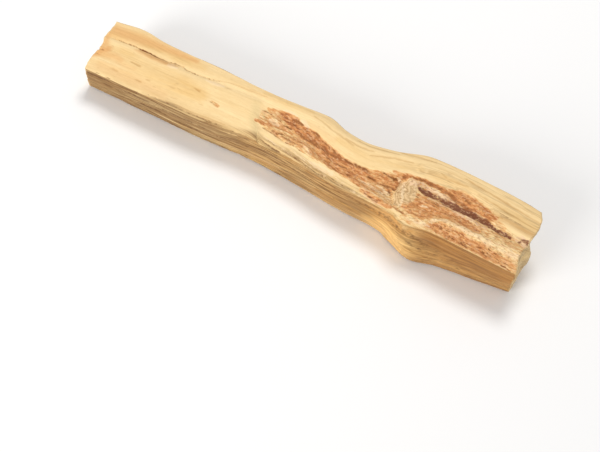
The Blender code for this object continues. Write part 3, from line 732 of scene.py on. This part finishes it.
# How far the surface stands up or lies down for each kind of finish, in mm
relief = {
    "frontGroove": 0.24,
    "frontLine": 0.12,
    "backGroove": 0.16,
    "torn": 0.24,
    "tornFine": 0.15,
    "knot": 0.05,
    "spots": 0.12,
    "nick": 0.30,
    "purple": 0.16,
    "pale": 0.06,
    "hollow": 0.25,             # a hollow this deep gets the darkest painted shade
}

# How the kinds of finish are shaped
texture = {
    "grooveSharpness": 4.0,
    "lineSharpness": 3.5,
    "sideHollowing": 1.5,       # above 1 the grooves and lines are narrower
    "splinterSteps": 2.4,
    "splinterFineSteps": 2.6,
    "pockRange": (0.2, 0.5),
    "ringPlace": (25.6, -0.5),
    "ringOval": 1.4,
    "ringStep": 0.62,           # mm from one ring to the next
    "nickRange": (0.1, 0.45),
    "nickReach": (1.0, 0.1),    # mm from the front edge
}

# The broken right end: how far its upper edge is pushed out along the stick, as (y, mm), and how the rest
# draws back below that edge
endShape = {
    "push": ((-9.6, 0.3), (-7.6, 0.2), (-5.9, 0.1), (-3.7, 0.7), (-2, 1.4), (-0.6, 1.4), (0.6, 1.1),
        (3.3, 1.1), (5, 0.9), (6, 0.4), (7, -0.1), (8, -0.4)),
    "pushFrom": (46.5, 49.2),   # x
    "pushRise": (6, 9.6),       # z
    "pull": 3.1,                # mm
    "pullFrom": (41, 49.2),     # x
    "pullBelow": (0.5, 2.2),    # mm below the edge
    "pullHeights": (6, 9),      # z
    "pullBorder": (-6.5, -4.2), # y at those heights, where it starts
    "pullSoft": 6.5,
    "spareTop": (49.6, 48.8),   # x; the top itself stays out to here
    "brinkFrom": 48.5,          # x from which the height of the edge is read
}


def easeLedge(s):
    # the ledge across the top is a soft slope: its heights are averaged along the stick
    x, y, z = s["x"], s["y"], s["z"]
    ledge = np.array(borders["ledge"])[::-1]
    toLedge = x - np.interp(y, ledge[:, 1], ledge[:, 0])
    reach = ledgeShape["reach"]
    near = np.flatnonzero((s["top"] > 0.5) & (np.abs(toLedge) < 3 * reach) & (y < ledgeShape["backEnd"]))
    dx = (x[near, None] - x[near]) / reach
    dy = (y[near, None] - y[near]) / ledgeShape["width"]
    weight = np.exp(-dx * dx - dy * dy)
    average = weight @ z[near] / weight.sum(1)
    share = smoothStep(2.4 * reach, 1.2 * reach, np.abs(toLedge[near]))
    share *= smoothStep(*ledgeShape["frontFade"], y[near] - s["frontY"][near])
    s["place"][near, 2] += (average - z[near]) * share
    # a mask for painted shade: a darker colour along the foot of the step, where shade falls below it
    foot = smoothStep(*ledgeShape["footBefore"], toLedge[near])
    s["ledge"] = np.zeros(len(x))
    s["ledge"][near] = foot * smoothStep(*ledgeShape["footAfter"], toLedge[near])
    s["ledge"] *= smoothStep(*ledgeShape["footAcross"], y) * s["top"]
    print("ledge eased at", len(near), "vertices")


def breakEnd(carved, s):
    # the right end: a ragged upper edge, and the sawn face drawn back below it
    x, y, z, top = (s[k] for k in ("x", "y", "z", "top"))
    end = endShape
    pushed = smoothStep(*end["pushFrom"], x) * smoothStep(*end["pushRise"], z)
    carved[:, 0] += lineAt(end["push"], y) * pushed
    brink = []
    for step in np.arange(-10, 9, 0.5):
        near = (x > end["brinkFrom"]) & (top + s["end"] > 0.5) & (np.abs(y - step) < 0.5)
        if near.any():
            brink.append((step, z[near].max()))
    fromBorder = y - np.interp(z, end["pullHeights"], end["pullBorder"])
    pulled = smoothStep(*end["pullBelow"], lineAt(brink, y) - z)
    pulled *= smoothStep(0, end["pullSoft"], fromBorder)
    pulled *= smoothStep(*end["pullFrom"], x) * (1 - top * smoothStep(*end["spareTop"], x))
    carved[:, 0] -= end["pull"] * pulled


def carveStick(stick, s):
    grain, crumb, x, y, z = (s[k] for k in ("grain", "crumb", "x", "y", "z"))
    top, front, back, under, end = (s[k] for k in ("top", "front", "back", "under", "end"))
    rough = fadeIn("roughLeft", x)
    height = top * (1 - s["torn"]) * (grainNoise("facet", grain) + grainNoise("facetSwell", grain))

    # the front and the back: long grooves where the layers tore apart
    split = np.clip(front + back + 0.8 * under, 0, 1)
    groove = ridged(grainNoise("groove", grain), texture["grooveSharpness"]) ** texture["sideHollowing"]
    lines = ridged(grainNoise("line", grain), texture["lineSharpness"]) ** texture["sideHollowing"]
    s["groove"] = np.clip(groove + 0.7 * lines, 0, 1) * split
    height -= front * relief["frontGroove"] * groove * atLeast(0.3, rough)
    height -= front * relief["frontLine"] * lines * atLeast(0.2, rough)
    height -= (back + 0.7 * under) * relief["backGroove"] * (groove + 0.4 * lines)
    height += split * grainNoise("sideFine", grain)

    # the resin streak and the rough right half: splinters that end in little steps
    torn = s["torn"] * (1 - 0.85 * s["knot"])
    splinter = terraced(grainNoise("splinter", crumb), texture["splinterSteps"])
    splinterFine = terraced(grainNoise("splinterFine", crumb), texture["splinterFineSteps"])
    s["splinter"] = np.clip(0.5 + 0.45 * splinter + 0.55 * splinterFine, 0, 1)
    height += torn * relief["torn"] * splinter * atLeast(0.4, fadeIn("leftStreak", x))
    height += torn * relief["tornFine"] * splinterFine
    s["pock"] = smoothStep(*texture["pockRange"], grainNoise("pock", crumb))
    s["pock"] *= np.maximum(s["spotted"], 0.5 * s["pink"])
    height -= s["pock"] * relief["spots"] + s["purple"] * relief["purple"] + s["cut"]
    height += s["pale"] * relief["pale"] + s["rim"] * grainNoise("rim", grain)

    # the knot: rings that bend round the place where the purple streak starts
    ringX, ringY = texture["ringPlace"]
    s["rings"] = np.hypot(x - ringX, (y - ringY) / texture["ringOval"]) + grainNoise("ringWobble", crumb)
    height += s["knot"] * relief["knot"] * np.cos(2 * np.pi * s["rings"] / texture["ringStep"])

    # nicks along the front edge, and sawn, crumbled ends
    fromEdge = np.hypot(y - s["frontY"], z - s["frontZ"])
    nick = smoothStep(*texture["nickRange"], grainNoise("nick", grain))
    nick *= smoothStep(*texture["nickReach"], fromEdge) * (1 - end)
    height -= nick * relief["nick"] * atLeast(0.3, rough)
    height += end * grainNoise("sawn", s["place"])

    # painted shade: a mask that colours the wood darker where it is carved in, in the torn wood and on the
    # front
    s["hollow"] = np.clip(-height / relief["hollow"], 0, 1) * np.clip(torn + 0.6 * front, 0, 1)
    carved = s["place"] + s["normal"] * height[:, None]
    breakEnd(carved, s)
    low, high = (np.array(corner) / mm for corner in cadBox)
    carved = np.clip(carved, low, high)
    stick.data.vertices.foreach_set("co", (carved * mm).ravel())
    stick.data.update()
    print("grain carved, from", round(height.min(), 2), "to", round(height.max(), 2), "mm")


def easeFolds(stick, sharp=1.9, turns=4):
    # the few corners where carving turned a face over are set back between their neighbours
    mesh = bmesh.new()
    mesh.from_mesh(stick.data)
    for turn in range(turns):
        mesh.normal_update()
        folded = {corner for edge in mesh.edges if edge.calc_face_angle(0) > sharp for corner in edge.verts}
        bmesh.ops.smooth_vert(mesh, verts=list(folded), factor=0.5,
                              use_axis_x=True, use_axis_y=True, use_axis_z=True)
    mesh.to_mesh(stick.data)
    mesh.free()
    print("folds eased, the last at", len(folded), "corners")


def storeAttributes(stick, s):
    x, y, z, top, front = (s[k] for k in ("x", "y", "z", "top", "front"))
    leftHalf = fadeIn("leftFront", x)
    reach = lineAt(profiles["frontReach"], x)
    margin = smoothStep(reach, 0.2 * reach, y - s["frontY"]) * top
    side = np.clip(front + s["back"] + s["under"] + 0.7 * margin, 0, 1)
    farBack = smoothStep(5, 7, y) * fadeIn("streakyBack", x)
    values = {
        "side": side,
        "lined": side * lineAt(profiles["lined"], x),
        "leftFront": np.clip(front + 0.7 * s["under"] + 0.5 * margin, 0, 1) * leftHalf,
        "streaky": np.clip(fadeIn("streaky", x) + 0.25 * farBack, 0, 1) * top * (1 - s["torn"]),
        "rightFront": fadeIn("rightFront", x) * front * atLeast(0.7, smoothStep(3, 8, z)),
        "bulge": fadeIn("bulgeStart", x) * fadeIn("bulgeEnd", x) * smoothStep(8.8, 6.8, z) * front,
        "dark": np.clip(s["dark"] + 0.8 * s["pock"], 0, 1),
        "groove": s["groove"] * lineAt(profiles["groove"], x),
    }
    for name in ("stain", "warm", "purple", "pink", "pale", "honey", "faint", "knot", "rings", "hollow",
                 "splinter", "torn", "ledge"):
        values[name] = s[name]
    for name, data in values.items():
        attribute = stick.data.attributes.new(name, "FLOAT", "POINT")
        attribute.data.foreach_set("value", data.astype(np.float32))
    for name in ("grain", "crumb"):
        attribute = stick.data.attributes.new(name, "FLOAT_VECTOR", "POINT")
        attribute.data.foreach_set("vector", s[name].astype(np.float32).ravel())
    print(len(values), "masks stored")


# Shader building blocks

def addNode(tree, kind, inputs, **settings):
    node = tree.nodes.new(kind)
    for name, value in settings.items():
        setattr(node, name, value)
    for name, value in inputs.items():
        if isinstance(value, bpy.types.NodeSocket):
            tree.links.new(value, node.inputs[name])
        else:
            node.inputs[name].default_value = value
    return node


def calc(tree, operation, first, second=0.0):
    return addNode(tree, "ShaderNodeMath", {0: first, 1: second}, operation=operation).outputs[0]


def times(tree, first, second):
    return calc(tree, "MULTIPLY", first, second)


def summed(tree, start, *terms):
    # the start and each value times its share
    for value, share in terms:
        start = calc(tree, "ADD", start, times(tree, value, share))
    return start


def mixColour(tree, amount, first, second, blend="MIX"):
    inputs = {0: amount, 6: first, 7: second}
    return addNode(tree, "ShaderNodeMix", inputs, data_type="RGBA", blend_type=blend).outputs[2]


def remap(tree, value, low, high, toLow=0.0, toHigh=1.0):
    inputs = {0: value, 1: low, 2: high, 3: toLow, 4: toHigh}
    return addNode(tree, "ShaderNodeMapRange", inputs, interpolation_type="SMOOTHSTEP").outputs[0]


def readAttribute(tree, name):
    node = addNode(tree, "ShaderNodeAttribute", {}, attribute_name=name)
    return node.outputs["Vector" if name in ("grain", "crumb") else "Fac"]


def startGroup(name, inputs, outputs):
    group = bpy.data.node_groups.new(name, "ShaderNodeTree")
    for socketName, kind in inputs.items():
        group.interface.new_socket(socketName, in_out="INPUT", socket_type=kind)
    for socketName in outputs:
        group.interface.new_socket(socketName, in_out="OUTPUT", socket_type="NodeSocketFloat")
    start = group.nodes.new("NodeGroupInput")
    finish = group.nodes.new("NodeGroupOutput")
    return group, start.outputs, finish.inputs


def useGroup(tree, group, inputs):
    return addNode(tree, "ShaderNodeGroup", inputs, node_tree=group).outputs


# The noises of the colour: how fast each changes along, across and through the grain, its detail, its
# roughness, and the part of its range that is used. Where that part runs down to 0 it is counted from the
# middle of the noise, which gives thin lines. First growth layers, fibres and short dark pores:
fibreNoises = {
    "Layers": ((0.02, 0.3, 0.7), 4.0, 0.62, (0.33, 0.67)),
    "Lines": ((0.03, 0.7, 1.2), 3.0, 0.6, (0.045, 0.0)),
    "Threads": ((0.035, 0.7, 1.5), 1.0, 0.4, (0.06, 0.0)),
    "Strands": ((0.035, 0.7, 1.5), 1.0, 0.4, (0.57, 0.66)),
    "Fibres": ((0.12, 1.6, 2.0), 3.0, 0.6, (0.3, 0.7)),
    "Pores": ((0.7, 2.8, 2.8), 1.0, 0.5, (0.68, 0.78)),
    "Blotches": ((0.09, 0.3, 0.3), 3.0, 0.6, (0.38, 0.62)),
}
# and the crumbly, uneven stain of resin, in lumps and specks:
mottleNoises = {
    "Lumps": ((0.6, 1.7, 1.7), 4.0, 0.7, (0.3, 0.7)),
    "Dashes": ((0.8, 2.9, 2.9), 2.0, 0.55, (0.36, 0.64)),
    "Specks": ((1.3, 2.7, 2.7), 2.0, 0.55, (0.54, 0.64)),
    "Flakes": ((1.1, 2.4, 2.4), 2.0, 0.6, (0.53, 0.62)),
    "Fine": ((1.5, 2.8, 2.8), 2.0, 0.5, (0.25, 0.75)),
}


def makeNoiseGroup(name, table):
    group, given, result = startGroup(name, {"Grain": "NodeSocketVector"}, table)
    for output, (stretch, detail, roughness, (low, high)) in table.items():
        inputs = {0: given["Grain"], 1: stretch}
        place = addNode(group, "ShaderNodeVectorMath", inputs, operation="MULTIPLY").outputs[0]
        inputs = {"Vector": place, "Scale": 1.0, "Detail": detail, "Roughness": roughness}
        noise = addNode(group, "ShaderNodeTexNoise", inputs).outputs["Fac"]
        if high == 0:
            noise = calc(group, "ABSOLUTE", calc(group, "SUBTRACT", noise, 0.5))
        group.links.new(remap(group, noise, low, high), result[output])
    return group


def makeBorderGroup(gate=0.3, edge=(0.15, 0.85)):
    # a soft mask given a ragged border by a noise, which works only where the mask has begun
    kinds = {name: "NodeSocketFloat" for name in ("Mask", "Noise", "Raggedness")}
    group, given, result = startGroup("ragged border", kinds, ["Mask"])
    shift = times(group, calc(group, "SUBTRACT", given["Noise"], 0.5), given["Raggedness"])
    begun = remap(group, given["Mask"], 0.0, gate)
    group.links.new(remap(group, summed(group, given["Mask"], (shift, begun)), *edge), result["Mask"])
    return group


# The colours of the wood, as linear red, green and blue
woodColours = {
    "topLight": (0.91, 0.68, 0.36, 1),
    "topTan": (0.83, 0.58, 0.27, 1),
    "honey": (0.78, 0.49, 0.175, 1),
    "warm": (0.77, 0.42, 0.16, 1),
    "sideLight": (0.79, 0.53, 0.215, 1),
    "sideBrown": (0.56, 0.34, 0.14, 1),
    "leftLight": (0.64, 0.46, 0.22, 1),
    "leftBrown": (0.44, 0.29, 0.13, 1),
    "rightLight": (0.54, 0.27, 0.075, 1),
    "rightBrown": (0.39, 0.175, 0.048, 1),
    "strand": (0.88, 0.64, 0.33, 1),
    "bulge": (0.9, 0.56, 0.21, 1),
    "line": (0.18, 0.09, 0.035, 1),
    "purple": (0.175, 0.046, 0.028, 1),
    "pink": (0.83, 0.57, 0.37, 1),
    "pale": (0.92, 0.7, 0.43, 1),
    "knot": (0.5, 0.315, 0.14, 1),
    "knotPale": (0.86, 0.62, 0.34, 1),
    "flake": (0.86, 0.55, 0.3, 1),
    "shade": (0.55, 0.38, 0.21, 1),
    "dark": (0.29, 0.115, 0.033, 1),
    # the grooves' colour: partly dark lines in the wood, partly painted shade in the creases
    "groove": (0.3, 0.17, 0.07, 1),
    # painted shade at the foot of the ledge
    "ledge": (0.68, 0.53, 0.25, 1),
    # the sawn ends: their pale end grain, made paler still as painted light, since the ends face away from
    # the lamps
    "sawn": (0.9, 0.69, 0.39, 1),
    "sawnDark": (0.66, 0.45, 0.22, 1),
}

# The resin from thin to thick: how strong the stain is, and its colour there
stainRamp = (
    (0.1, (0.84, 0.59, 0.27, 1)),
    (0.26, (0.76, 0.46, 0.2, 1)),
    (0.42, (0.72, 0.355, 0.13, 1)),
    (0.58, (0.6, 0.25, 0.085, 1)),
    (0.74, (0.42, 0.155, 0.052, 1)),
    (0.92, (0.26, 0.085, 0.028, 1)),
)

# The coats of colour laid over the wood: how strongly each shows, and in which of the colours
coats = {
    "layers": (0.7, "topTan"),
    "honey": (0.75, "honey"),
    "blotches": (0.45, "topLight"),
    "warm": (0.95, "warm"),
    # painted shade at the foot of the ledge
    "ledge": (0.3, "ledge"),
    "bulge": (1.0, "bulge"),
    "strands": (0.5, "strand"),
    "lines": (1.0, "line"),
    "threads": (0.6, "line"),
    "pink": (0.66, "pink"),
    "pale": (0.75, "pale"),
    "purple": (0.94, "purple"),
    "crumbs": (0.48, "dark"),
    "flakes": (0.45, "flake"),
    "pores": (0.16, "dark"),
    # painted shade in the carved hollows
    "hollow": (0.35, "dark"),
    "groove": (0.55, "groove"),
    "sawnLayers": (0.6, "sawnDark"),
    "sawnCrumbs": (0.5, "sawnDark"),
    "sawnSpecks": (0.3, "dark"),
    "sawnMarks": (0.8, "dark"),
}

# The noise that frays the border of each mask, and by how much
raggedness = {
    "knot": ("Lumps", 0.3),
    "pink": ("Fine", 2.2),
    "pale": ("Lumps", 0.9),
    "purple": ("Fine", 0.7),
    "dark": ("Fine", 0.5),
}

# The surface: gloss, the roughness where its noise is low and high, and bumps, with their depth in mm
finishes = {
    "palo santo heartwood": {"gloss": 0.25, "roughness": (0.66, 0.82), "bump": 0.6, "depth": 0.06},
    "palo santo sawn end": {"gloss": 0.2, "roughness": (0.75, 0.9), "bump": 0.8, "depth": 0.1},
}


def coated(tree, under, *layers):
    # what is under them, with each coat laid over it where its mask says
    for mask, name in layers:
        share, colour = coats[name]
        under = mixColour(tree, times(tree, mask, share), under, woodColours[colour])
    return under


def startWood(name, groups):
    material = bpy.data.materials.new(name)
    material.use_nodes = True
    tree = material.node_tree
    fibres = useGroup(tree, groups["fibres"], {"Grain": readAttribute(tree, "grain")})
    mottle = useGroup(tree, groups["mottle"], {"Grain": readAttribute(tree, "crumb")})
    return material, tree, fibres, mottle


def finishWood(material, colour, sheen, height):
    finish = finishes[material.name]
    tree = material.node_tree
    shader = tree.nodes["Principled BSDF"]
    shader.inputs["Specular IOR Level"].default_value = finish["gloss"]
    tree.links.new(colour, shader.inputs["Base Color"])
    tree.links.new(remap(tree, sheen, 0.0, 1.0, *finish["roughness"]), shader.inputs["Roughness"])
    bump = addNode(tree, "ShaderNodeBump", {
        "Height": height, "Strength": finish["bump"], "Distance": finish["depth"] * mm})
    tree.links.new(bump.outputs["Normal"], shader.inputs["Normal"])


def makeSplitWood(groups):
    colour = woodColours
    material, tree, fibres, mottle = startWood("palo santo heartwood", groups)

    def mask(name):
        return readAttribute(tree, name)

    def ragged(name):
        noise, amount = raggedness[name]
        inputs = {"Mask": mask(name), "Noise": mottle[noise], "Raggedness": amount}
        return useGroup(tree, groups["border"], inputs)["Mask"]

    # the plain wood: pale on the top, with a painted shade at the foot of the ledge, in brown and pale
    # layers on the split sides
    layers = fibres["Layers"]
    top = coated(tree, colour["topLight"], (layers, "layers"), (mask("honey"), "honey"),
                 (fibres["Blotches"], "blotches"), (mask("warm"), "warm"), (mask("ledge"), "ledge"))
    sides = mixColour(tree, layers, colour["sideLight"], colour["sideBrown"])
    left = mixColour(tree, layers, colour["leftLight"], colour["leftBrown"])
    sides = mixColour(tree, mask("leftFront"), sides, left)
    right = mixColour(tree, layers, colour["rightLight"], colour["rightBrown"])
    sides = mixColour(tree, times(tree, mask("rightFront"), 0.9), sides, right)
    sides = coated(tree, sides, (mask("bulge"), "bulge"))
    side, lined, streaky = (mask(name) for name in ("side", "lined", "streaky"))
    wood = mixColour(tree, side, top, sides)
    strands = times(tree, fibres["Strands"], calc(tree, "SUBTRACT", lined, mask("rightFront")))
    lineShare = summed(tree, 0.03, (lined, 0.8), (streaky, 0.24))
    wood = coated(tree, wood, (strands, "strands"), (times(tree, fibres["Lines"], lineShare), "lines"),
                  (times(tree, fibres["Threads"], lined), "threads"))

    # the resin, from tan to dark red brown: lumps in the stain, and paler where splinters stand up
    stain = mask("stain")
    stained = remap(tree, stain, 0.02, 0.2)
    uneven = summed(tree, -0.11, (mottle["Lumps"], 0.2), (mask("splinter"), -0.2), (mottle["Dashes"], 0.22))
    level = summed(tree, stain, (uneven, stained))
    ramp = tree.nodes.new("ShaderNodeValToRGB")
    while len(ramp.color_ramp.elements) < len(stainRamp):
        ramp.color_ramp.elements.new(0.5)
    for element, (place, value) in zip(ramp.color_ramp.elements, stainRamp):
        element.position = place
        element.color = value
    tree.links.new(level, ramp.inputs[0])
    wood = mixColour(tree, remap(tree, level, 0.03, 0.22), wood, ramp.outputs[0])

    rings = calc(tree, "COSINE", times(tree, mask("rings"), 2 * math.pi / texture["ringStep"]))
    crest = summed(tree, 0.25, (rings, 0.28), (mottle["Lumps"], 0.5))
    knot = mixColour(tree, crest, colour["knot"], colour["knotPale"])
    wood = mixColour(tree, ragged("knot"), wood, knot)
    wood = coated(tree, wood, *((ragged(name), name) for name in ("pink", "pale", "purple")))

    # fibres, pores, crumbs in the torn wood, painted shade in the hollows, and the grooves darkened, partly
    # by their own dark lines and partly by painted shade
    torn = mask("torn")
    contrast = summed(tree, 0.06, (lined, 0.42), (streaky, 0.12))
    shaded = summed(tree, mask("faint"), (fibres["Fibres"], contrast), (mottle["Dashes"], 0.08))
    wood = mixColour(tree, shaded, wood, colour["shade"], "MULTIPLY")
    # the grooves coloured darker, partly their own dark lines and partly painted shade
    groove = times(tree, mask("groove"), calc(tree, "ADD", mask("leftFront"), 0.4))
    wood = coated(tree, wood, (times(tree, mottle["Specks"], torn), "crumbs"),
                  (times(tree, mottle["Flakes"], stained), "flakes"), (fibres["Pores"], "pores"),
                  (mask("hollow"), "hollow"), (groove, "groove"))
    mark = mixColour(tree, side, colour["dark"], colour["line"])
    wood = mixColour(tree, ragged("dark"), wood, mark)
    height = summed(tree, fibres["Fibres"], (mottle["Fine"], times(tree, torn, 2.0)))
    finishWood(material, wood, fibres["Fibres"], height)
    return material


def makeSawnWood(groups):
    # the ends: growth layers seen edge on, fibre ends as fine dots, on a ground made paler as painted light
    material, tree, fibres, mottle = startWood("palo santo sawn end", groups)
    marked = readAttribute(tree, "dark")
    wood = coated(tree, woodColours["sawn"], (fibres["Layers"], "sawnLayers"),
                  (mottle["Fine"], "sawnCrumbs"), (mottle["Specks"], "sawnSpecks"), (marked, "sawnMarks"))
    finishWood(material, wood, mottle["Fine"], mottle["Fine"])
    return material


def dressStick(stick, s, endFrom=0.8):
    groups = {
        "fibres": makeNoiseGroup("fibres", fibreNoises),
        "mottle": makeNoiseGroup("mottle", mottleNoises),
        "border": makeBorderGroup(),
    }
    stick.data.materials.clear()
    stick.data.materials.append(makeSplitWood(groups))
    stick.data.materials.append(makeSawnWood(groups))
    isEnd = s["end"] > endFrom
    slots = [int(all(isEnd[i] for i in face.vertices)) for face in stick.data.polygons]
    stick.data.polygons.foreach_set("material_index", slots)
    stick.data.update()
    print("wood dressed")


makeCamera()
makeStudio()
stick = refineStick()
surface = readStick(stick)
drawFeatures(surface)
easeLedge(surface)
carveStick(stick, surface)
easeFolds(stick)
storeAttributes(stick, surface)
dressStick(stick, surface)
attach(stick, "root")
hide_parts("stick")
